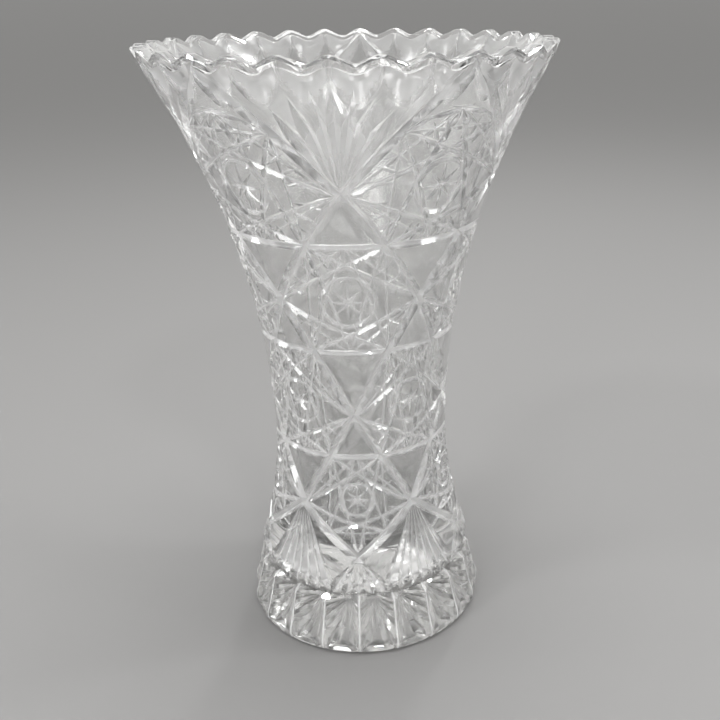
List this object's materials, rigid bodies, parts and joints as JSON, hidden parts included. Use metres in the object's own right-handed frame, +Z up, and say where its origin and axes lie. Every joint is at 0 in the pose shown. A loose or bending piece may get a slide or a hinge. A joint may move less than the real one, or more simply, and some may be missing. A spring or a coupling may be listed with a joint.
{
  "type": "vase",
  "caption": "Flared clear glass vase with a scalloped rim, lattice and star cuts round the body, and a thick round foot.",
  "frame": {"origin": "centre of the underside of the foot", "axes": "+Z up along the vase's axis; -Y is the front; a rim point and the middle of one pattern column face -Y"},
  "size_m": [0.1636, 0.1646, 0.254],
  "materials": {
    "crystal": "polished clear lead crystal"
  },
  "bodies": {
    "root": {"vase_body": "crystal", "foot": "crystal"}
  },
  "joints": []
}
